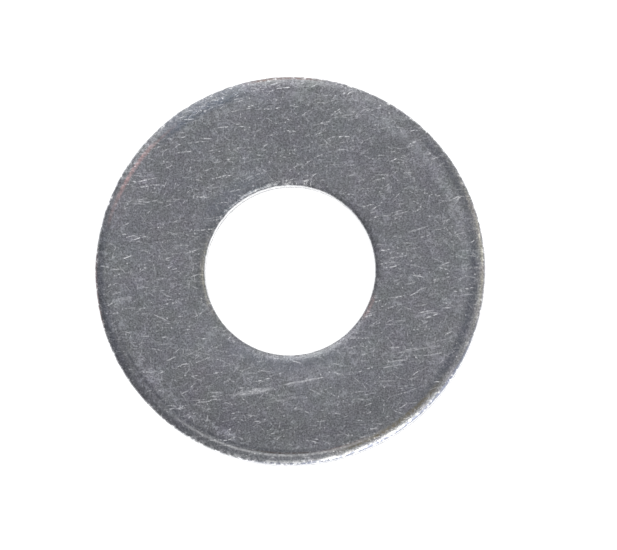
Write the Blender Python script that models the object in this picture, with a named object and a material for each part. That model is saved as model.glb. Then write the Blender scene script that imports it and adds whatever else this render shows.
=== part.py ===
"""Plain flat washer for a 3/8 in or M10 bolt, blanked and pierced from sheet steel and zinc plated.

Metres, +Z up. The washer lies on its burr side at z = 0, with the axis of its hole on Z.
It is one piece. Both of its edges are modelled as a compound die leaves them: rolled over at the
top face, smooth and straight where the steel sheared, and torn back at a slight angle below that.
"""

from math import cos, pi, radians, sin, tau

import bmesh
import bpy

# Driving dimensions, in metres
OUTER_DIAMETER = 0.0254
HOLE_DIAMETER = 0.0111
THICKNESS = 0.0021

# The rolled edge round the rim and round the hole: how far it reaches over the face, and down
RIM_ROLL_WIDTH = 0.00085
RIM_ROLL_DEPTH = 0.00038
HOLE_ROLL_WIDTH = 0.00060
HOLE_ROLL_DEPTH = 0.00032
ROLL_STEPS = 6

# Below the roll the wall is straight down to TEAR_HEIGHT, and then torn back by TEAR_SETBACK
TEAR_HEIGHT = 0.00075
TEAR_SETBACK = 0.00009
BURR_BREAK = 0.00005

SPIN_STEPS = 144
SHARP_ANGLE = radians(28)

PLATE_COLOUR = (0.56, 0.57, 0.60, 1.0)
PLATE_ROUGHNESS = 0.38
PLATE_METALLIC = 1.0


def clear_scene():
    for thing in list(bpy.data.objects):
        bpy.data.objects.remove(thing, do_unlink=True)


def edge_profile(wall_radius, outward, roll_width, roll_depth):
    """One punched edge as (radius, height) points, from the top face down to the bottom face.

    outward is 1 at the rim, where the steel ends at a larger radius, and -1 at the hole.
    """
    points = []
    for step in range(ROLL_STEPS + 1):
        turn = pi / 2 * step / ROLL_STEPS
        inset = roll_width * (1 - sin(turn))
        drop = roll_depth * (1 - cos(turn))
        points.append((wall_radius - outward * inset, THICKNESS - drop))
    torn_radius = wall_radius - outward * TEAR_SETBACK
    points.append((wall_radius, TEAR_HEIGHT))
    points.append((torn_radius, BURR_BREAK))
    points.append((torn_radius - outward * BURR_BREAK, 0.0))
    return points


def washer_profile():
    """The closed section of the washer: down the rim, across the bottom, and up the hole."""
    rim = edge_profile(OUTER_DIAMETER / 2, 1, RIM_ROLL_WIDTH, RIM_ROLL_DEPTH)
    hole = edge_profile(HOLE_DIAMETER / 2, -1, HOLE_ROLL_WIDTH, HOLE_ROLL_DEPTH)
    return rim + hole[::-1]


def turned_mesh(name, profile):
    """The solid that a closed profile sweeps in one turn about Z."""
    shape = bmesh.new()
    corners = [shape.verts.new((radius, 0.0, height)) for radius, height in profile]
    section = [shape.edges.new((a, b)) for a, b in zip(corners, corners[1:] + corners[:1])]
    bmesh.ops.spin(
        shape,
        geom=corners + section,
        cent=(0.0, 0.0, 0.0),
        axis=(0.0, 0.0, 1.0),
        angle=tau,
        steps=SPIN_STEPS,
        use_merge=True,
    )
    bmesh.ops.recalc_face_normals(shape, faces=shape.faces)
    mesh = bpy.data.meshes.new(name)
    shape.to_mesh(mesh)
    shape.free()
    mesh.shade_smooth()
    mesh.set_sharp_from_angle(angle=SHARP_ANGLE)
    return mesh


def zinc_plated_steel():
    material = bpy.data.materials.new("zinc_plated_steel")
    material.use_nodes = True
    shader = material.node_tree.nodes["Principled BSDF"]
    shader.inputs["Base Color"].default_value = PLATE_COLOUR
    shader.inputs["Roughness"].default_value = PLATE_ROUGHNESS
    shader.inputs["Metallic"].default_value = PLATE_METALLIC
    return material


def flat_washer():
    mesh = turned_mesh("flat_washer", washer_profile())
    mesh.materials.append(zinc_plated_steel())
    washer = bpy.data.objects.new("flat_washer", mesh)
    bpy.context.scene.collection.objects.link(washer)
    return washer


clear_scene()
flat_washer()
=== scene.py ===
from math import cos, hypot, pi, radians, sin

import bpy
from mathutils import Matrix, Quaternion, Vector


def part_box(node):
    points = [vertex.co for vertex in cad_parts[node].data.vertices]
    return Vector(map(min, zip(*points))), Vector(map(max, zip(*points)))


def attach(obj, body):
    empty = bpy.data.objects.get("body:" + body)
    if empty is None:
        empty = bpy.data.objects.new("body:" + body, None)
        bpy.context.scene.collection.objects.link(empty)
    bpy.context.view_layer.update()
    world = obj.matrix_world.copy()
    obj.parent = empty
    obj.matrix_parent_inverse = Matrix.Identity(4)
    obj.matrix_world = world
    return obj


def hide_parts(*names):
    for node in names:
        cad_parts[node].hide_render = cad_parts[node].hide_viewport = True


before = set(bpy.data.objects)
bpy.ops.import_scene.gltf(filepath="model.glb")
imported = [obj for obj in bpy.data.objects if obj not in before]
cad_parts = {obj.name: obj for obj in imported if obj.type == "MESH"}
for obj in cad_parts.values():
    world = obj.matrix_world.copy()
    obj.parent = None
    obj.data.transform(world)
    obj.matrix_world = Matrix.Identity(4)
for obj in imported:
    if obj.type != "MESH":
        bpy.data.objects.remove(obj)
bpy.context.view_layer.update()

# A plain flat washer, punched from sheet steel, tumbled and zinc plated, lying on its burr side on a
# white light table. The frame's solid gives the outside, the hole and the thickness. Here the
# washer gets its punched edges, its plating and its wear.

MM = 0.001
PER_MM = 1 / MM

washer_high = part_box("flat_washer")[1]
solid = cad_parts["flat_washer"].data
RIM_RADIUS = washer_high.x
HOLE_RADIUS = min(hypot(corner.co.x, corner.co.y) for corner in solid.vertices)
THICKNESS = washer_high.z

# The edges as the compound die leaves them
RIM_ROLL_WIDTH = 0.85 * MM
RIM_ROLL_DEPTH = 0.38 * MM
HOLE_ROLL_WIDTH = 0.60 * MM
HOLE_ROLL_DEPTH = 0.32 * MM
ROLL_CREASE = radians(12)
TEAR_HEIGHT = 0.75 * MM
TEAR_SETBACK = 0.09 * MM
BURR_BREAK = 0.05 * MM
# The way to the side, north-west, where the die was worn and the roll is most ragged
WORN_SIDE = (-0.42, 0.91, 0.0)
# What stretches a pattern into the upright lines that the punch draws down the sheared wall
UPRIGHT = (1.0, 1.0, 0.12)

# How finely the washer is cut up round its axis, and across each stretch of its section
AROUND = 800
FACE_ROWS = 30
BACK_ROWS = 14
EDGE_ROWS = (14, 7, 9, 2)

# Stations number the corners of the section, so one value says where on the section a point is
FACE, WALL, TEAR, BURR, BACK = range(5)

MATH, VECTOR, MAP, MIX = "ShaderNodeMath", "ShaderNodeVectorMath", "ShaderNodeMapRange", "ShaderNodeMix"
NOISE, AXES, POINT = "ShaderNodeTexNoise", "ShaderNodeSeparateXYZ", "ShaderNodeCombineXYZ"
CHANNELS, GROUP = "ShaderNodeSeparateColor", "ShaderNodeGroup"
FLOAT, TRIPLE, GEOMETRY = "NodeSocketFloat", "NodeSocketVector", "NodeSocketGeometry"
# A smooth step limits itself, so it needs no clamp after it
SMOOTH = {"interpolation_type": "SMOOTHSTEP", "clamp": False}


def linear(code, alpha=1.0):
    """A colour written as sRGB hex, such as "#A0A1A6", as the linear colour that nodes take."""
    channels = [int(code[place:place + 2], 16) / 255 for place in (1, 3, 5)]
    straight = [c / 12.92 if c <= 0.04045 else ((c + 0.055) / 1.055) ** 2.4 for c in channels]
    return (*straight, alpha)


def add(tree, kind, inputs=(), **settings):
    """Adds a node with its settings, and sets or links its inputs.

    The inputs are a list in the order of the visible sockets, or a dict by socket name. A node
    given as a value stands for its first visible output, and None leaves a socket as it is.
    """
    node = tree.nodes.new(kind)
    for name, value in settings.items():
        setattr(node, name, value)
    visible = [socket for socket in node.inputs if socket.enabled]
    wanted = inputs.items() if isinstance(inputs, dict) else enumerate(inputs)
    for key, value in wanted:
        socket = visible[key] if isinstance(key, int) else node.inputs[key]
        if isinstance(value, bpy.types.Node):
            value = next(output for output in value.outputs if output.enabled)
        if isinstance(value, bpy.types.NodeSocket):
            tree.links.new(value, socket)
        elif value is not None:
            socket.default_value = value
    return node


def new_group(name, kind, inputs, output):
    """A node group with its named input sockets and one output: (group, its inputs, its end)."""
    group = bpy.data.node_groups.new(name, kind)
    for label, socket_type in inputs.items():
        group.interface.new_socket(label, in_out="INPUT", socket_type=socket_type)
    label, socket_type = output
    group.interface.new_socket(label, in_out="OUTPUT", socket_type=socket_type)
    given = group.nodes.new("NodeGroupInput").outputs
    return group, given, group.nodes.new("NodeGroupOutput").inputs[0]


# The washer's shape


def section_stretch():
    """A tree for one stretch of the section, swept round the axis from a start to an end corner.

    With Roll at 0 the stretch is straight. At 1 it is the quarter ellipse of a rolled edge, which
    leaves the face at a slight crease and meets the wall square.
    """
    names = [
        "Start Radius", "Start Height", "End Radius", "End Height", "Roll", "Start Station",
        "End Station",
    ]
    sockets = dict.fromkeys(names, FLOAT) | dict.fromkeys(["Rows", "Around"], "NodeSocketInt")
    tree, given, end = new_group("section stretch", "GeometryNodeTree", sockets, ("Mesh", GEOMETRY))

    rings = add(tree, MATH, (given["Rows"], 1), operation="ADD")
    spokes = add(tree, MATH, (given["Around"], 1), operation="ADD")
    grid = add(tree, "GeometryNodeMeshGrid", (1.0, 1.0, spokes, rings))
    place = add(tree, AXES, [add(tree, "GeometryNodeInputPosition")])
    turn = add(tree, MATH, (place.outputs["X"], 2 * pi, pi), operation="MULTIPLY_ADD")
    along = add(tree, MATH, (place.outputs["Y"], 0.5), operation="ADD")

    swing = add(tree, MAP, (along, 0.0, 1.0, ROLL_CREASE, pi / 2))
    sine = add(tree, MATH, [swing], operation="SINE")
    cosine = add(tree, MATH, [swing], operation="COSINE")
    rolled_out = add(tree, MAP, (sine, sin(ROLL_CREASE), 1.0, 0.0, 1.0))
    rolled_down = add(tree, MAP, (cosine, cos(ROLL_CREASE), 0.0, 0.0, 1.0))
    across = add(tree, MIX, (given["Roll"], along, rolled_out))
    down = add(tree, MIX, (given["Roll"], along, rolled_down))
    radius = add(tree, MIX, (across, given["Start Radius"], given["End Radius"]))
    height = add(tree, MIX, (down, given["Start Height"], given["End Height"]))
    station = add(tree, MIX, (along, given["Start Station"], given["End Station"]))

    east = add(tree, MATH, [turn], operation="COSINE")
    north = add(tree, MATH, [turn], operation="SINE")
    outward = add(tree, POINT, (east, north))
    ring = add(tree, AXES, [add(tree, VECTOR, (outward, radius), operation="SCALE")])
    swept = add(tree, POINT, (ring.outputs["X"], ring.outputs["Y"], height))
    marked = add(
        tree, "GeometryNodeStoreNamedAttribute",
        {"Geometry": grid.outputs["Mesh"], "Name": "station", "Value": station},
        data_type="FLOAT", domain="POINT",
    )
    placed = add(tree, "GeometryNodeSetPosition", {"Geometry": marked, "Position": swept})
    tree.links.new(placed.outputs[0], end)
    return tree


def relief(tree, station, low, high, fade, noise, depth):
    """Surface relief between two stations, from a noise of 0 to 1, as a height in metres."""
    rising = add(tree, MAP, (station, low - fade, low + fade), **SMOOTH)
    falling = add(tree, MAP, (station, high - fade, high + fade, 1.0, 0.0), **SMOOTH)
    here = add(tree, MATH, (rising, falling), operation="MULTIPLY")
    centred = add(tree, MATH, (noise, 0.5), operation="SUBTRACT")
    amount = add(tree, MATH, (centred, here), operation="MULTIPLY")
    return add(tree, MATH, (amount, depth), operation="MULTIPLY")


def punched_washer():
    """A tree for the whole washer: its stretches joined into one skin, with the relief of its wear."""
    names = [
        "Rim Radius", "Hole Radius", "Thickness", "Rim Roll Width", "Rim Roll Depth", "Hole Roll Width",
        "Hole Roll Depth", "Tear Height", "Tear Setback", "Burr Break", "Seed",
    ]
    sockets = dict.fromkeys(names, FLOAT) | {"Finish": "NodeSocketMaterial"}
    tree, given, end = new_group("punched washer", "GeometryNodeTree", sockets, ("Geometry", GEOMETRY))
    stretch = section_stretch()

    def corners(edge, outward):
        """The corners of the section at the rim or the hole, as (radius, height, station)."""
        wall = given[edge + " Radius"]
        shoulder = add(tree, MATH, (given[edge + " Roll Width"], -outward, wall), operation="MULTIPLY_ADD")
        drop = add(tree, MATH, (given["Thickness"], given[edge + " Roll Depth"]), operation="SUBTRACT")
        torn = add(tree, MATH, (given["Tear Setback"], -outward, wall), operation="MULTIPLY_ADD")
        foot = add(tree, MATH, (given["Burr Break"], -outward, torn), operation="MULTIPLY_ADD")
        return [
            (shoulder, given["Thickness"], FACE), (wall, drop, WALL), (wall, given["Tear Height"], TEAR),
            (torn, given["Burr Break"], BURR), (foot, 0.0, BACK),
        ]

    def joined(stretches):
        """Stretches, each (start corner, end corner, rows, roll), as one geometry."""
        skin = tree.nodes.new("GeometryNodeJoinGeometry")
        for start, stop, rows, roll in stretches:
            values = (*start[:2], *stop[:2], roll, start[2], stop[2], rows, AROUND)
            piece = add(tree, "GeometryNodeGroup", values, node_tree=stretch)
            tree.links.new(piece.outputs[0], skin.inputs[0])
        return skin

    rim, hole = corners("Rim", 1), corners("Hole", -1)
    rolls = (1.0, 0.0, 0.0, 0.0)
    outer = [
        (hole[0], rim[0], FACE_ROWS, 0.0),
        *zip(rim, rim[1:], EDGE_ROWS, rolls),
        (rim[-1], hole[-1], BACK_ROWS, 0.0),
    ]
    # Swept the same way, the stretches of the hole face into the steel, so they are turned round
    inner = add(tree, "GeometryNodeFlipFaces", [joined(zip(hole, hole[1:], EDGE_ROWS, rolls))])
    skin = joined(outer)
    tree.links.new(inner.outputs[0], skin.inputs[0])
    closed = add(tree, "GeometryNodeMergeByDistance", {"Geometry": skin, "Distance": 0.001 * MM})

    station = add(tree, "GeometryNodeInputNamedAttribute", {"Name": "station"}, data_type="FLOAT")
    place = add(tree, VECTOR, (add(tree, "GeometryNodeInputPosition"), PER_MM), operation="SCALE")
    drawn = add(tree, VECTOR, (place, UPRIGHT), operation="MULTIPLY")

    # The steel is swelled and dimpled all over, scuffed on its rolled edges, drawn with upright
    # lines where it sheared, and torn and gritty below that. The roll is raggedest on the worn
    # side. Each relief has the stations it starts and ends at, how far it fades, where its noise is
    # read, the noise's scale per millimetre and detail, and its depth
    to_worn_side = add(tree, VECTOR, (place, WORN_SIDE), operation="DOT_PRODUCT")
    scuffed = add(tree, MAP, (to_worn_side, -9.0, 7.0, 0.015 * MM, 0.09 * MM))
    ragged = add(tree, MAP, (to_worn_side, -4.0, 9.0, 0.0, 0.07 * MM))
    reliefs = [
        (FACE - 1, BACK + 1, 0.1, place, 0.22, 1, 0.05 * MM),
        (FACE - 1, BACK + 1, 0.1, place, 1.4, 2, 0.010 * MM),
        (FACE + 0.2, WALL + 0.4, 0.2, place, 2.6, 3, scuffed),
        (FACE + 0.6, WALL + 0.3, 0.2, place, 5.0, 2, ragged),
        (WALL, TEAR, 0.15, drawn, 7.0, 2, 0.012 * MM),
        (TEAR, BURR, 0.15, drawn, 3.4, 4, 0.075 * MM),
        (TEAR, BACK - 0.2, 0.1, place, 6.0, 2, 0.04 * MM),
    ]
    height = 0.0
    for low, high, fade, where, scale, detail, depth in reliefs:
        noise = add(tree, NOISE, (where, given["Seed"], scale, detail), noise_dimensions="4D")
        further = relief(tree, station, low, high, fade, noise, depth)
        height = add(tree, MATH, (height, further), operation="ADD")
    offset = add(tree, VECTOR, (add(tree, "GeometryNodeInputNormal"), height), operation="SCALE")
    worn = add(tree, "GeometryNodeSetPosition", {"Geometry": closed, "Offset": offset})
    smooth = add(tree, "GeometryNodeSetShadeSmooth", {"Geometry": worn})
    real = add(tree, "GeometryNodeRealizeInstances", {"Geometry": smooth})
    plated = add(tree, "GeometryNodeSetMaterial", {"Geometry": real, "Material": given["Finish"]})
    tree.links.new(plated.outputs[0], end)
    return tree


def plain_mesh(name, tree, values):
    """What a tree makes from these named inputs, as an object with a plain mesh and no modifier."""
    blank = bpy.data.objects.new(name + "_blank", bpy.data.meshes.new(name + "_blank"))
    bpy.context.scene.collection.objects.link(blank)
    modifier = blank.modifiers.new("shape", "NODES")
    modifier.node_group = tree
    for socket in tree.interface.items_tree:
        if socket.in_out == "INPUT":
            modifier[socket.identifier] = values[socket.name]
    evaluated = blank.evaluated_get(bpy.context.evaluated_depsgraph_get())
    mesh = bpy.data.meshes.new_from_object(evaluated)
    bpy.data.objects.remove(blank)
    mesh.name = name
    piece = bpy.data.objects.new(name, mesh)
    bpy.context.scene.collection.objects.link(piece)
    return piece


# The plating's patterns, in millimetres


def tumbling_scratches():
    """A group for straight scratches, one to a cell of a stretched grid, as a mask from 0 to 1."""
    names = ["Length", "Pitch", "Width", "Share", "Slant", "Seed"]
    sockets = dict.fromkeys(["Place", "Along", "Across"], TRIPLE) | dict.fromkeys(names, FLOAT)
    group, given, end = new_group("tumbling scratches", "ShaderNodeTree", sockets, ("Mask", FLOAT))

    along = add(group, VECTOR, (given["Place"], given["Along"]), operation="DOT_PRODUCT")
    across = add(group, VECTOR, (given["Place"], given["Across"]), operation="DOT_PRODUCT")
    down_rows = add(group, MATH, (across, given["Pitch"]), operation="DIVIDE")
    row = add(group, MATH, [down_rows], operation="FLOOR")
    in_row = add(group, MATH, [down_rows], operation="FRACT")
    # Each row is shifted along by a chance amount, so that the cells of two rows don't line up
    row_luck = add(group, "ShaderNodeTexWhiteNoise", [add(group, POINT, (row, given["Seed"], 0.0))])
    shift = add(group, MATH, (row_luck, 17.0), operation="MULTIPLY")
    lengths = add(group, MATH, (along, given["Length"]), operation="DIVIDE")
    shifted = add(group, MATH, (lengths, shift), operation="ADD")
    column = add(group, MATH, [shifted], operation="FLOOR")
    in_column = add(group, MATH, [shifted], operation="FRACT")
    luck = add(group, "ShaderNodeTexWhiteNoise", [add(group, POINT, (row, column, given["Seed"]))])
    lucks = add(group, CHANNELS, [luck.outputs["Color"]]).outputs

    # By chance a scratch also leans a little, lies off the middle of its row, and is weak or strong
    from_middle = add(group, MATH, (in_column, 0.5), operation="SUBTRACT")
    lean = add(group, MATH, (lucks["Red"], 0.5), operation="SUBTRACT")
    lean = add(group, MATH, (lean, given["Slant"]), operation="MULTIPLY")
    middle = add(group, MAP, (lucks["Green"], 0.0, 1.0, 0.3, 0.7))
    line = add(group, MATH, (lean, from_middle, middle), operation="MULTIPLY_ADD")
    gap = add(group, MATH, (in_row, line), operation="SUBTRACT")
    gap = add(group, MATH, [gap], operation="ABSOLUTE")
    distance = add(group, MATH, (gap, given["Pitch"]), operation="MULTIPLY")
    near = add(group, MAP, (distance, 0.0, given["Width"], 1.0, 0.0), **SMOOTH)
    to_end = add(group, MATH, [from_middle], operation="ABSOLUTE")
    to_end = add(group, MATH, (0.5, to_end), operation="SUBTRACT")
    tapered = add(group, MAP, (to_end, 0.02, 0.3), **SMOOTH)
    drawn = add(group, MATH, (luck, given["Share"]), operation="LESS_THAN")
    strength = add(group, MAP, (lucks["Blue"], 0.0, 1.0, 0.4, 1.2))
    mask = add(group, MATH, (near, tapered), operation="MULTIPLY")
    mask = add(group, MATH, (mask, drawn), operation="MULTIPLY")
    mask = add(group, MATH, (mask, strength), operation="MULTIPLY")
    group.links.new(mask.outputs[0], end)
    return group


def squiggles():
    """A group for short curly marks, the walls of the sheet's pits, as a mask from 0 to 1.

    They are the contour lines of one noise, kept only where a second noise is high.
    """
    sockets = {"Place": TRIPLE} | dict.fromkeys(["Scale", "Width", "Share", "Seed"], FLOAT)
    group, given, end = new_group("squiggles", "ShaderNodeTree", sockets, ("Mask", FLOAT))
    # Place, seed, scale, detail, roughness, lacunarity and distortion
    values = (given["Place"], given["Seed"], given["Scale"], 1.0, 0.5, 2.0, 0.5)
    hills = add(group, NOISE, values, noise_dimensions="4D")
    away = add(group, MATH, (hills, 0.5), operation="SUBTRACT")
    away = add(group, MATH, [away], operation="ABSOLUTE")
    line = add(group, MAP, (away, 0.0, given["Width"], 1.0, 0.0), **SMOOTH)
    elsewhere = add(group, MATH, (given["Seed"], 31.0), operation="ADD")
    values = (given["Place"], elsewhere, given["Scale"], 2.0)
    patches = add(group, NOISE, values, noise_dimensions="4D")
    # A bigger share opens bigger patches
    open_from = add(group, MATH, (0.62, given["Share"]), operation="SUBTRACT")
    open_to = add(group, MATH, (open_from, 0.14), operation="ADD")
    kept = add(group, MAP, (patches, open_from, open_to), **SMOOTH)
    mask = add(group, MATH, (line, kept), operation="MULTIPLY")
    group.links.new(mask.outputs[0], end)
    return group


def rub_lens():
    """A group for the lens-shaped outline of one rub mark, as a mask from 0 to 1."""
    sockets = dict.fromkeys(["Place", "Middle", "Size"], TRIPLE) | {"Strength": FLOAT}
    group, given, end = new_group("rub lens", "ShaderNodeTree", sockets, ("Mask", FLOAT))
    away = add(group, VECTOR, (given["Place"], given["Middle"]), operation="SUBTRACT")
    # Twice the way from the middle over the size is 1 at the outline
    away = add(group, VECTOR, (away, (2.0, 2.0, 0.0)), operation="MULTIPLY")
    away = add(group, VECTOR, (away, given["Size"]), operation="DIVIDE")
    reach = add(group, VECTOR, [away], operation="LENGTH")
    inside = add(group, MAP, (reach, 1.0, 0.5, 0.0, 1.0), **SMOOTH)
    mask = add(group, MATH, (inside, given["Strength"]), operation="MULTIPLY")
    group.links.new(mask.outputs[0], end)
    return group


def arc_band():
    """A group for a soft band along part of a circle about the axis, as a mask from 0 to 1."""
    sockets = dict.fromkeys(["Place", "Facing"], TRIPLE)
    sockets |= dict.fromkeys(["Half Span", "Radius", "Half Width"], FLOAT)
    group, given, end = new_group("arc band", "ShaderNodeTree", sockets, ("Mask", FLOAT))
    flat = add(group, VECTOR, (given["Place"], (1.0, 1.0, 0.0)), operation="MULTIPLY")
    radius = add(group, VECTOR, [flat], operation="LENGTH")
    unit = add(group, VECTOR, [flat], operation="NORMALIZE")
    cosine = add(group, VECTOR, (unit, given["Facing"]), operation="DOT_PRODUCT")
    away = add(group, MATH, [cosine], operation="ARCCOSINE")
    turn_share = add(group, MATH, (away, given["Half Span"]), operation="DIVIDE")
    off = add(group, MATH, (radius, given["Radius"]), operation="SUBTRACT")
    off = add(group, MATH, [off], operation="ABSOLUTE")
    off_share = add(group, MATH, (off, given["Half Width"]), operation="DIVIDE")
    along = add(group, MAP, (turn_share, 1.0, 0.4, 0.0, 1.0), **SMOOTH)
    across = add(group, MAP, (off_share, 1.0, 0.2, 0.0, 1.0), **SMOOTH)
    mask = add(group, MATH, (along, across), operation="MULTIPLY")
    group.links.new(mask.outputs[0], end)
    return group


# Layers of tumbling scratches: the angle in degrees that they run at, then length, pitch and width
# in millimetres, then the share of cells that hold a scratch, and how bright the layer is. The
# brightness is a painted glint, strongest on the layers that run nearly east and west
SCRATCH_LAYERS = [
    (14, 2.2, 0.52, 0.055, 0.13, 1.0),
    (21, 1.3, 0.40, 0.050, 0.18, 0.95),
    (8, 1.0, 0.34, 0.050, 0.20, 0.8),
    (-9, 1.1, 0.46, 0.050, 0.13, 0.75),
    (38, 0.8, 0.38, 0.050, 0.16, 0.8),
    (-36, 0.7, 0.44, 0.050, 0.12, 0.7),
    (-80, 0.6, 0.42, 0.050, 0.13, 0.65),
    (64, 0.6, 0.44, 0.050, 0.12, 0.65),
]
# How widely the scratches' lean varies, from end to end of a cell, as a share of its row's pitch
SCRATCH_LEAN = 1.2

# Layers of squiggles: marks per millimetre, width of the line, share kept, and brightness
SQUIGGLE_LAYERS = [(1.9, 0.060, 0.12, 0.70), (3.1, 0.075, 0.12, 0.78), (5.0, 0.095, 0.12, 0.85)]

# Rub marks that stand out on the top face, by the angle in degrees that they run at: x and y of the
# middle, length and width in millimetres, and strength
RUB_MARKS = {
    -12: [
        (8.45, 0.15, 1.1, 0.1, 0.75),
        (4.15, 10.36, 0.35, 0.1, 0.8),
        (-8.45, 4.45, 0.5, 0.14, 0.7),
    ],
    -3: [
        (6.75, -1.85, 0.8, 0.09, 0.6),
        (6.85, 0.45, 1.0, 0.1, 0.5),
        (0.66, 6.93, 0.7, 0.11, 1.0),
        (-3.4, 6.0, 0.5, 0.1, 0.6),
    ],
    1: [
        (-4.75, -8.0, 1.1, 0.14, 0.75),
        (-4.85, -8.27, 0.8, 0.12, 0.75),
        (-3.1, -7.7, 0.6, 0.12, 0.7),
        (0.62, -9.08, 0.75, 0.11, 1.0),
        (1.78, -11.06, 0.32, 0.13, 0.95),
        (5.0, -10.5, 0.45, 0.1, 0.6),
        (6.26, -7.28, 1.7, 0.12, 0.5),
        (7.22, -7.75, 0.5, 0.1, 0.7),
        (7.29, -3.36, 0.9, 0.12, 0.5),
        (10.2, -2.52, 0.7, 0.12, 1.0),
        (10.78, -1.45, 0.28, 0.12, 0.9),
        (0.4, 8.1, 0.95, 0.1, 0.5),
        (-1.63, 8.16, 0.3, 0.12, 0.9),
        (2.32, 9.52, 0.4, 0.1, 0.8),
        (-9.37, 4.7, 0.3, 0.12, 0.9),
        (-10.76, 2.37, 0.5, 0.12, 0.9),
        (-7.2, 2.43, 0.45, 0.1, 0.6),
    ],
    10: [
        (0.9, -7.27, 3.5, 0.18, 0.9),
        (1.9, -7.08, 1.3, 0.12, 1.0),
        (-2.4, -7.97, 3.3, 0.46, 0.8),
        (-0.2, -8.45, 3.6, 0.22, 0.35),
        (-1.8, -6.58, 0.65, 0.11, 0.95),
        (6.7, -6.3, 1.5, 0.12, 0.95),
        (6.94, -5.98, 1.7, 0.14, 0.8),
        (6.97, -5.74, 0.65, 0.11, 0.7),
        (8.2, -5.24, 4.2, 0.12, 0.55),
        (7.9, -5.2, 1.3, 0.12, 0.8),
        (8.95, -2.74, 1.4, 0.13, 1.0),
        (10.6, -1.2, 0.28, 0.12, 0.9),
        (6.87, 2.17, 0.35, 0.12, 1.0),
        (3.35, 7.83, 0.75, 0.1, 0.6),
        (2.2, 8.2, 0.85, 0.1, 0.6),
        (1.9, 9.55, 1.4, 0.14, 0.5),
        (3.6, 10.1, 2.2, 0.14, 0.5),
        (3.49, 10.12, 0.9, 0.1, 0.8),
        (-4.72, 7.09, 0.8, 0.1, 0.6),
        (-3.9, 7.35, 0.85, 0.1, 0.8),
        (-10.7, -1.85, 1.25, 0.32, 0.55),
    ],
    17: [
        (8.16, -7.05, 1.15, 0.1, 0.8),
        (6.95, -0.72, 0.65, 0.1, 0.8),
        (8.35, 2.62, 2.0, 0.12, 0.9),
        (10.15, 3.2, 0.75, 0.1, 0.8),
        (7.3, 3.68, 1.2, 0.12, 1.0),
        (4.1, 6.2, 0.9, 0.12, 0.5),
        (-7.25, 5.23, 0.35, 0.1, 0.6),
        (-9.4, 6.0, 0.5, 0.1, 0.7),
    ],
    26: [
        (6.5, -9.5, 0.4, 0.1, 0.5),
        (6.3, -7.6, 0.4, 0.1, 0.6),
        (-2.7, 6.05, 0.95, 0.1, 0.6),
        (-6.2, -5.35, 1.7, 0.13, 0.5),
        (-4.9, -5.1, 1.2, 0.12, 0.45),
    ],
    37: [
        (9.5, -4.26, 0.45, 0.1, 0.5),
        (1.06, 6.93, 1.3, 0.11, 0.8),
        (-4.3, 6.1, 0.8, 0.1, 0.45),
    ],
    65: [
        (3.16, -8.8, 0.3, 0.12, 1.0),
        (-1.33, 7.1, 0.2, 0.14, 1.0),
        (4.1, 8.46, 0.2, 0.14, 1.0),
        (-6.7, 4.58, 0.2, 0.13, 0.9),
    ],
}

# Films and stains of the passivate near the edges, lines burnished beside the crease, and bands of
# painted shade and painted light: bearing and half span in degrees, radius and half width in
# millimetres, colour, and strength. The dark blue-grey bands along the creases, the rolled edges and
# the hole's edge are painted shade, the thin blue-grey line along the outer edge to the south-east is
# a painted shadow, and the two pale bands beside the hole are painted light
STAINS_AND_PAINTED_SHADING = [
    (147, 13, 12.18, 0.20, "#E2BAB8", 0.75),
    (160, 8, 12.22, 0.18, "#C8AEAC", 0.5),
    (135, 9, 12.10, 0.12, "#B89C98", 0.5),
    (335, 11, 5.75, 0.22, "#C8AEAC", 0.65),
    (305, 27, 12.20, 0.22, "#8C8470", 0.8),
    (287, 10, 12.06, 0.14, "#94776A", 0.6),
    # Painted shadow: a thin blue-grey line along the outer edge to the south-east
    (300, 52, 12.64, 0.14, "#989EB2", 1.0),
    (268, 12, 11.96, 0.11, "#6A5A50", 0.6),
    # Painted shade: dark blue-grey bands in the crease and on the rolled edge, to the east, north-east and
    # west
    (-15, 40, 12.00, 0.42, "#686C76", 0.65),
    (35, 25, 12.25, 0.35, "#686C76", 0.5),
    (188, 32, 12.35, 0.35, "#6A7080", 0.4),
    # Painted shade: a dark band on the hole's rolled edge, to the west
    (172, 40, 5.85, 0.45, "#74767A", 0.55),
    # Painted shade: a dark line in the crease to the south-west
    (240, 60, 11.82, 0.13, "#6C6E74", 0.7),
    (264, 44, 12.10, 0.11, "#E6E6E4", 0.9),
    # Painted shade: a dark line on the rolled edge to the south-west
    (250, 50, 12.36, 0.12, "#6A6E74", 0.4),
    # Painted shade: darker blue-grey bands on the border of the face and on the rolled edge, to the
    # north-west
    (119, 20, 11.95, 0.45, "#7C889A", 0.50),
    (119, 20, 12.45, 0.34, "#70757F", 0.70),
    # Painted shade: a dark band on the hole's rolled edge, to the north-west
    (125, 42, 5.72, 0.30, "#62666C", 0.95),
    (186, 16, 12.64, 0.10, "#7E5E58", 0.55),
    # Painted light: pale blue-grey bands beside the hole, to the north-west and to the south
    (128, 34, 6.30, 0.80, "#8E96A4", 0.3),
    (268, 50, 6.20, 0.70, "#929AA6", 0.3),
    (92, 14, 12.60, 0.14, "#8A6E66", 0.6),
]
# A half span, in degrees, so wide that the band fades nowhere
ALL_ROUND = 720

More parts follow.
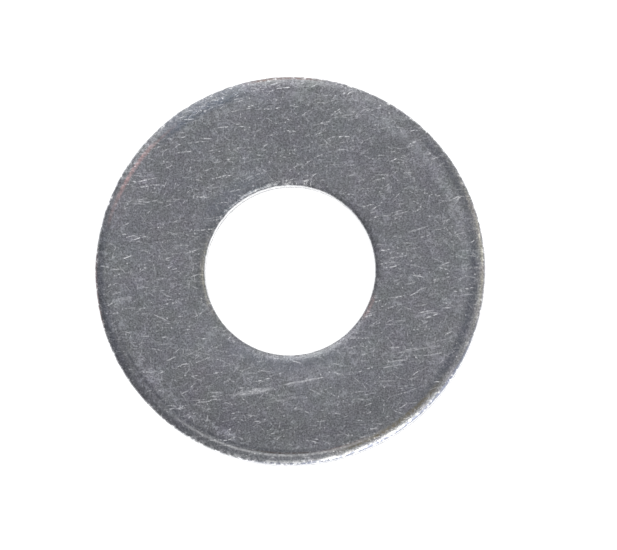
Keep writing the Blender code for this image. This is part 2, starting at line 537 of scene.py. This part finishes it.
# Bands of the face that other washers' rims have scuffed, and two bands of painted shade and painted
# light: bearing and half span in degrees, radius and half width in millimetres, how much thicker the
# squiggles lie, and how much lighter it is. A value below 0 is for thinner or darker
SCUFFED_AND_PAINTED_BANDS = [
    (0, ALL_ROUND, 11.40, 0.50, 0.20, 0.03),
    (62, 85, 11.50, 0.65, 0.80, 0.12),
    (228, 34, 11.35, 0.35, 0.56, 0.08),
    (40, 30, 11.50, 0.45, 0.60, 0.08),
    # Painted shade, darker on the outer part of the face to the south, and painted light beside the hole
    # to the south, with the squiggles thinner or thicker to match
    (272, 62, 10.80, 1.70, -0.25, -0.14),
    (262, 70, 6.90, 1.30, 0.30, 0.16),
]

# The stretch of the rolled corner that other washers knocked most: bearing and half span in
# degrees, radius and half width in millimetres
KNOCKED = (276, 48, 12.50, 0.30)
# How strongly the passivate's film tints the plate
FILM_STRENGTH = 0.08


def facing(bearing):
    """The level direction of a bearing in degrees."""
    return (cos(radians(bearing)), sin(radians(bearing)), 0.0)


def washer_zones(tree, place):
    """Masks for the face, the sheared wall, the torn wall and the rolled corner, by the station."""
    station = add(tree, "ShaderNodeAttribute", attribute_name="station").outputs["Fac"]
    front = add(tree, MAP, (station, 0.15, 0.75, 1.0, 0.0), **SMOOTH)
    back = add(tree, MAP, (station, BURR + 0.6, BACK), **SMOOTH)
    face = add(tree, MATH, (front, back), operation="ADD")
    # The sheared steel ends in a wavy line, where the torn steel starts
    wavy = add(tree, NOISE, {"Vector": place, "Scale": 1.3, "Detail": 4.0, "Roughness": 0.6})
    wavy = add(tree, MATH, (wavy, 0.5), operation="SUBTRACT")
    wavy = add(tree, MATH, (wavy, 0.8, station), operation="MULTIPLY_ADD")
    torn = add(tree, MAP, (wavy, TEAR - 0.45, TEAR - 0.1), **SMOOTH)
    torn = add(tree, MATH, (torn, back), operation="SUBTRACT", use_clamp=True)
    wall = add(tree, MAP, (station, 0.8, 1.1), **SMOOTH)
    wall = add(tree, MATH, (wall, back), operation="SUBTRACT", use_clamp=True)
    sheared = add(tree, MATH, (wall, torn), operation="SUBTRACT", use_clamp=True)
    corner_in = add(tree, MAP, (station, 0.35, 0.75), **SMOOTH)
    corner_out = add(tree, MAP, (station, 1.0, 1.25, 1.0, 0.0), **SMOOTH)
    corner = add(tree, MATH, (corner_in, corner_out), operation="MULTIPLY")
    return face, sheared, torn, corner


def zinc_plated_steel():
    """Bright zinc plate with a clear blue passivate, over tumbled sheet steel.

    The plate follows the fine pits of the sheet, so it looks grey and curdled, not mirror bright.
    Tumbling leaves straight scratches and specks where the plate was burnished, painted near white as
    glints, and the passivate gives faint blue, yellow and red-brown films near the edges. Bands of
    painted shade darken the creases and rolled edges.
    """
    material = bpy.data.materials.new("zinc_plated_steel")
    material.use_nodes = True
    tree = material.node_tree
    tree.nodes.clear()

    source = add(tree, "ShaderNodeTexCoord").outputs["Object"]
    place = add(tree, "ShaderNodeMapping", {"Vector": source, "Scale": (PER_MM, PER_MM, PER_MM)})
    height = add(tree, AXES, [place]).outputs["Z"]
    on_top = add(tree, MATH, (height, THICKNESS * PER_MM / 2), operation="GREATER_THAN")
    from_axis = add(tree, VECTOR, [place], operation="LENGTH").outputs["Value"]
    face, sheared, torn, corner = washer_zones(tree, place)
    # Inside the hole the torn steel is burnished smoother
    outside = add(tree, MAP, (from_axis, 7.0, 11.0, 0.0, 1.0))
    torn = add(tree, MATH, (torn, outside), operation="MULTIPLY")
    # The two faces don't share their marks, so the bottom face reads the patterns elsewhere. The
    # marks also bend a little, by up to 0.1 mm
    elsewhere = add(tree, MAP, (on_top, 0.0, 1.0, 41.0, 0.0))
    elsewhere = add(tree, POINT, (elsewhere, elsewhere, 0.0))
    marks_place = add(tree, VECTOR, (place, elsewhere), operation="ADD")
    bend = add(tree, NOISE, {"Vector": marks_place, "Scale": 0.9, "Detail": 1.0}).outputs["Color"]
    bend = add(tree, CHANNELS, [bend]).outputs
    bend = add(tree, POINT, (bend["Red"], bend["Green"], 0.0))
    bend = add(tree, VECTOR, (bend, (0.5, 0.5, 0.0)), operation="SUBTRACT")
    bent_place = add(tree, VECTOR, (bend, (0.5, 0.5, 0.0), marks_place), operation="MULTIPLY_ADD")

    # Pits of the sheet, 0.1 to 0.2 mm across, under wider clouds
    grain = add(tree, NOISE, {"Vector": place, "Scale": 9.0, "Detail": 2.0, "Roughness": 0.7})
    mottle = add(tree, NOISE, {"Vector": place, "Scale": 1.1, "Detail": 3.0, "Roughness": 0.6})
    cloud = add(tree, NOISE, {"Vector": place, "Scale": 0.28, "Detail": 2.0})
    tinge = add(tree, NOISE, {"Vector": bent_place, "Scale": 0.55, "Detail": 4.0, "Roughness": 0.7})
    squiggle = squiggles()
    curls = 0.0
    for number, (scale, width, share, strength) in enumerate(SQUIGGLE_LAYERS):
        seed = 5.0 + 7.0 * number
        layer = add(tree, GROUP, (marks_place, scale, width, share, seed), node_tree=squiggle)
        curls = add(tree, MATH, (layer, strength, curls), operation="MULTIPLY_ADD")
    # Bands of the face are scuffed, two more carry painted shade and painted light, and the squiggles lie
    # thicker or thinner there
    arc = arc_band()
    scuffed = scuffed_and_painted_tone = 0.0
    for bearing, half_span, radius, half_width, thicker, tone in SCUFFED_AND_PAINTED_BANDS:
        values = (place, facing(bearing), radians(half_span), radius, half_width)
        layer = add(tree, GROUP, values, node_tree=arc)
        scuffed = add(tree, MATH, (layer, thicker, scuffed), operation="MULTIPLY_ADD")
        scuffed_and_painted_tone = add(tree, MATH, (layer, tone, scuffed_and_painted_tone), operation="MULTIPLY_ADD")
    patchy = add(tree, MATH, (mottle, 0.5), operation="SUBTRACT")
    patchy = add(tree, MATH, (patchy, 1.6, 0.55), operation="MULTIPLY_ADD")
    patchy = add(tree, MATH, (patchy, scuffed), operation="ADD", use_clamp=True)
    curls = add(tree, MATH, (curls, patchy), operation="MULTIPLY", use_clamp=True)
    body = add(tree, MAP, (grain, 0.36, 0.72, 0.02, 0.84), clamp=False)
    uneven = add(tree, MAP, (mottle, 0.36, 0.64, 0.2, 1.8))
    body = add(tree, MATH, (scuffed_and_painted_tone, uneven, body), operation="MULTIPLY_ADD")
    cloudy = add(tree, MATH, (cloud, 0.5), operation="SUBTRACT")
    body = add(tree, MATH, (cloudy, 0.3, body), operation="MULTIPLY_ADD")
    body = add(tree, MATH, (curls, 1.0, body), operation="MULTIPLY_ADD", use_clamp=True)

    # Specks of painted glint on small burnished dents, one to a cell 0.3 mm wide, most of them faint
    cells = add(tree, "ShaderNodeTexVoronoi", {"Vector": marks_place, "Scale": 3.4})
    glint_speck = add(tree, MAP, (cells.outputs["Distance"], 0.09, 0.25, 1.0, 0.0), **SMOOTH)
    luck = add(tree, CHANNELS, [cells.outputs["Color"]]).outputs["Red"]
    luck = add(tree, MATH, (luck, 4.5), operation="POWER")
    glint_speck = add(tree, MATH, (glint_speck, luck), operation="MULTIPLY")

    scratches, rub = tumbling_scratches(), rub_lens()
    fine = 0.0
    for number, (angle, length, pitch, width, share, strength) in enumerate(SCRATCH_LAYERS):
        east, north = cos(radians(angle)), sin(radians(angle))
        along, across = (east, north, 0.0), (-north, east, 0.0)
        seed = number * 3.7 + 1.0
        values = (bent_place, along, across, length, pitch, width, share, SCRATCH_LEAN, seed)
        layer = add(tree, GROUP, values, node_tree=scratches)
        layer = add(tree, MATH, (layer, strength), operation="MULTIPLY")
        fine = add(tree, MATH, (fine, layer), operation="MAXIMUM")
    # The marks are broken up along their length. Rub marks, films and the bands of painted shade and
    # painted light at the edges show on the top face only
    broken = add(tree, NOISE, {"Vector": place, "Scale": 6.5, "Detail": 1.0})
    broken = add(tree, MAP, (broken, 0.42, 0.60, 0.05, 1.0))
    beaded = add(tree, MATH, (broken, 0.6, 0.4), operation="MULTIPLY_ADD")
    beaded = add(tree, MATH, (beaded, on_top), operation="MULTIPLY")
    broken_on_top = add(tree, MATH, (broken, 0.6, 0.45), operation="MULTIPLY_ADD")
    broken_on_top = add(tree, MATH, (broken_on_top, on_top), operation="MULTIPLY")
    fine = add(tree, MATH, (fine, broken), operation="MULTIPLY")
    cuts = add(tree, MATH, (fine, glint_speck), operation="MAXIMUM")
    rubbed = 0.0
    for angle, alike in RUB_MARKS.items():
        turned = add(
            tree, "ShaderNodeVectorRotate", {"Vector": place, "Angle": -radians(angle)},
            rotation_type="Z_AXIS",
        )
        east, north = cos(radians(angle)), sin(radians(angle))
        lenses = 0.0
        for x, y, length, width, strength in alike:
            middle = (x * east + y * north, y * east - x * north, 0.0)
            values = (turned, middle, (length, width, 1.0), strength)
            lens = add(tree, GROUP, values, node_tree=rub)
            lenses = add(tree, MATH, (lenses, lens), operation="MAXIMUM")
        # Each mark is made of fine lines, about 0.08 mm apart and 0.6 mm long
        lined = add(tree, VECTOR, (turned, (1.6, 12.0, 1.0)), operation="MULTIPLY")
        lines = add(tree, NOISE, {"Vector": lined, "Scale": 1.0, "Detail": 2.0, "Roughness": 0.6})
        lines = add(tree, MAP, (lines, 0.40, 0.56, 0.35, 1.1), **SMOOTH)
        lenses = add(tree, MATH, (lenses, lines), operation="MULTIPLY")
        rubbed = add(tree, MATH, (rubbed, lenses), operation="MAXIMUM")
    rubbed = add(tree, MATH, (rubbed, beaded), operation="MULTIPLY")
    marks_and_glints = add(tree, MATH, (cuts, rubbed), operation="MAXIMUM")
    marks_and_glints = add(tree, MATH, (marks_and_glints, face), operation="MULTIPLY")
    # The rolled corner is nicked where washers knocked together, and the nicks are painted bright as
    # glints
    nicks = add(tree, NOISE, {"Vector": place, "Scale": 3.8, "Detail": 3.0, "Roughness": 0.7})
    bearing, half_span, radius, half_width = KNOCKED
    values = (place, facing(bearing), radians(half_span), radius, half_width)
    knocked = add(tree, GROUP, values, node_tree=arc)
    nicks = add(tree, MATH, (knocked, 0.10, nicks), operation="MULTIPLY_ADD")
    nicks = add(tree, MAP, (nicks, 0.55, 0.64), **SMOOTH)
    nicks = add(tree, MATH, (nicks, corner), operation="MULTIPLY")
    at_rim = add(tree, MAP, (from_axis, 7.0, 11.0, 0.35, 0.9))
    nicks = add(tree, MATH, (nicks, at_rim), operation="MULTIPLY")
    marks_and_glints = add(tree, MATH, (marks_and_glints, nicks), operation="MAXIMUM")

    dark = add(tree, MIX, (tinge, linear("#85827F"), linear("#747880")), data_type="RGBA")
    light = add(tree, MIX, (tinge, linear("#C6C5C3"), linear("#BCC0C9")), data_type="RGBA")
    colour = add(tree, MIX, (body, dark, light), data_type="RGBA")
    # The passivate's thin film shifts the hue a little from place to place
    film = tinge.outputs["Color"]
    colour = add(tree, MIX, (FILM_STRENGTH, colour, film), data_type="RGBA", blend_type="OVERLAY")
    # Films, stains and burnished lines, and bands of painted shade and painted light, on the top face
    for bearing, half_span, radius, half_width, tint, strength in STAINS_AND_PAINTED_SHADING:
        values = (place, facing(bearing), radians(half_span), radius, half_width)
        mask = add(tree, GROUP, values, node_tree=arc)
        mask = add(tree, MATH, (mask, broken_on_top), operation="MULTIPLY")
        mask = add(tree, MATH, (mask, strength), operation="MULTIPLY")
        colour = add(tree, MIX, (mask, colour, linear(tint)), data_type="RGBA")
    # The sheared wall is drawn with upright lines, and the torn wall is gritty
    drawn = add(tree, VECTOR, (place, UPRIGHT), operation="MULTIPLY")
    drawn = add(tree, NOISE, {"Vector": drawn, "Scale": 6.0, "Detail": 3.0, "Roughness": 0.6})
    drawn = add(tree, MAP, (drawn, 0.35, 0.65))
    gritty = add(tree, MAP, (grain, 0.35, 0.68))
    bright = add(tree, MIX, (drawn, linear("#CFD0D2"), linear("#EEEEEE")), data_type="RGBA")
    dull = add(tree, MIX, (gritty, linear("#82858C"), linear("#C2C4C9")), data_type="RGBA")
    colour = add(tree, MIX, (sheared, colour, bright), data_type="RGBA")
    colour = add(tree, MIX, (torn, colour, dull), data_type="RGBA")
    # Scratches, rub marks, specks and nicks are painted near white: the scratches, rubs and nicks are real
    # marks whose white is a painted glint, and the specks are painted glints
    colour = add(tree, MIX, (marks_and_glints, colour, linear("#FBFBFB")), data_type="RGBA")

    rough = add(tree, MAP, (mottle, 0.2, 0.8, 0.30, 0.44))
    rough = add(tree, MATH, (sheared, -0.10, rough), operation="MULTIPLY_ADD")
    rough = add(tree, MATH, (torn, 0.18, rough), operation="MULTIPLY_ADD")

    # Pits a few micrometres deep, with the scratches cut into them
    ridge = add(tree, MATH, (cuts, -0.8, grain), operation="MULTIPLY_ADD")
    ridge = add(tree, MATH, (curls, 0.5, ridge), operation="MULTIPLY_ADD")
    # The rolled edge is pressed smoother than the face
    smoother = add(tree, MATH, (corner, -0.75, 1.0), operation="MULTIPLY_ADD")
    ridge = add(tree, MATH, (ridge, smoother), operation="MULTIPLY")
    bump = add(tree, "ShaderNodeBump", {"Strength": 1.0, "Distance": 0.012 * MM, "Height": ridge})

    shader = add(
        tree, "ShaderNodeBsdfPrincipled",
        {"Base Color": colour, "Metallic": 1.0, "Roughness": rough, "Normal": bump},
    )
    add(tree, "ShaderNodeOutputMaterial", {"Surface": shader})
    return material


# The light table, the lamps and the camera

MIDDLE = Vector((0.0, 0.0, THICKNESS / 2))


def light_table(top):
    """A big flat sheet of white acrylic, lit from below: a plain white ground with no shadow."""
    reach = 1.5
    corners = [(x * reach, y * reach, top) for x, y in ((-1, -1), (1, -1), (1, 1), (-1, 1))]
    mesh = bpy.data.meshes.new("light_table")
    mesh.from_pydata(corners, [], [(0, 1, 2, 3)])
    table = bpy.data.objects.new("light_table", mesh)
    bpy.context.scene.collection.objects.link(table)
    material = bpy.data.materials.new("white_acrylic")
    material.use_nodes = True
    shader = material.node_tree.nodes["Principled BSDF"]
    shader.inputs["Base Color"].default_value = linear("#F4F4F4")
    shader.inputs["Roughness"].default_value = 0.6
    shader.inputs["Emission Color"].default_value = linear("#FFFFFF")
    shader.inputs["Emission Strength"].default_value = 0.72
    mesh.materials.append(material)


def studio_walls():
    """The room round the table: a grey ceiling, and walls that are darker to the west."""
    world = bpy.data.worlds.new("studio")
    world.use_nodes = True
    tree = world.node_tree
    tree.nodes.clear()
    direction = add(tree, "ShaderNodeTexCoord").outputs["Generated"]
    west = add(tree, VECTOR, (direction, (-0.94, -0.34, 0.0)), operation="DOT_PRODUCT")
    dark = add(tree, MAP, (west, 0.25, 0.85), **SMOOTH)
    colour = add(tree, MIX, (dark, linear("#B7B8BD"), linear("#7C7D82")), data_type="RGBA")
    back = add(tree, "ShaderNodeBackground", {"Color": colour, "Strength": 1.0})
    add(tree, "ShaderNodeOutputWorld", {"Surface": back})
    bpy.context.scene.world = world


def softbox(name, bearing, elevation, distance, width, radiance, colour):
    """A square softbox that faces the washer. Its power is worked out from its radiance."""
    bearing, elevation = radians(bearing), radians(elevation)
    away = Vector((cos(elevation) * cos(bearing), cos(elevation) * sin(bearing), sin(elevation)))
    lamp = bpy.data.lights.new(name, "AREA")
    lamp.shape = "SQUARE"
    lamp.size = width
    lamp.energy = radiance * pi * width * width
    lamp.color = linear(colour)[:3]
    holder = bpy.data.objects.new(name, lamp)
    holder.location = MIDDLE + away * distance
    holder.rotation_euler = away.to_track_quat("Z", "Y").to_euler()
    bpy.context.scene.collection.objects.link(holder)


VIEW_BEARING = radians(300)
VIEW_TILT = radians(7.5)
VIEW_DISTANCE = 0.40
VIEW_WIDTH = 40.18 * MM
# The view is centred to the right of the washer's middle and a little below it
AIM_RIGHT = 1.165 * MM
AIM_UP = -0.22 * MM
SENSOR_MM = 36.0


def product_camera():
    """A long lens almost straight above the washer, leaning over its south-east edge."""
    lean = Quaternion((-sin(VIEW_BEARING), cos(VIEW_BEARING), 0.0), VIEW_TILT)
    right, up, out = (lean @ Vector(axis) for axis in ((1, 0, 0), (0, 1, 0), (0, 0, 1)))
    lens = bpy.data.cameras.new("product_camera")
    lens.sensor_width = SENSOR_MM
    lens.lens = SENSOR_MM * VIEW_DISTANCE / VIEW_WIDTH
    lens.clip_start = 0.01
    lens.clip_end = 10.0
    camera = bpy.data.objects.new("product_camera", lens)
    camera.rotation_euler = lean.to_euler()
    camera.location = MIDDLE + out * VIEW_DISTANCE + right * AIM_RIGHT + up * AIM_UP
    bpy.context.scene.collection.objects.link(camera)
    bpy.context.scene.camera = camera


washer = plain_mesh(
    "zinc_plated_washer", punched_washer(),
    {
        "Rim Radius": RIM_RADIUS, "Hole Radius": HOLE_RADIUS, "Thickness": THICKNESS,
        "Rim Roll Width": RIM_ROLL_WIDTH, "Rim Roll Depth": RIM_ROLL_DEPTH,
        "Hole Roll Width": HOLE_ROLL_WIDTH, "Hole Roll Depth": HOLE_ROLL_DEPTH,
        "Tear Height": TEAR_HEIGHT, "Tear Setback": TEAR_SETBACK, "Burr Break": BURR_BREAK,
        "Seed": 3.0, "Finish": zinc_plated_steel(),
    },
)
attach(washer, "root")
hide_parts("flat_washer")

# The washer rests on the lowest points of its burr side
light_table(min(corner.co.z for corner in washer.data.vertices))
studio_walls()
# Bearing and elevation in degrees, distance and width in metres, radiance, and colour
softbox("key_softbox", 298, 28, 0.5, 0.32, 3.25, "#FFFDF8")
softbox("back_softbox", 108, 30, 0.5, 0.46, 0.95, "#FFFFFF")
softbox("side_softbox", 12, 30, 0.5, 0.22, 1.4, "#FFF4D2")
product_camera()
bpy.context.scene.view_settings.view_transform = "Standard"
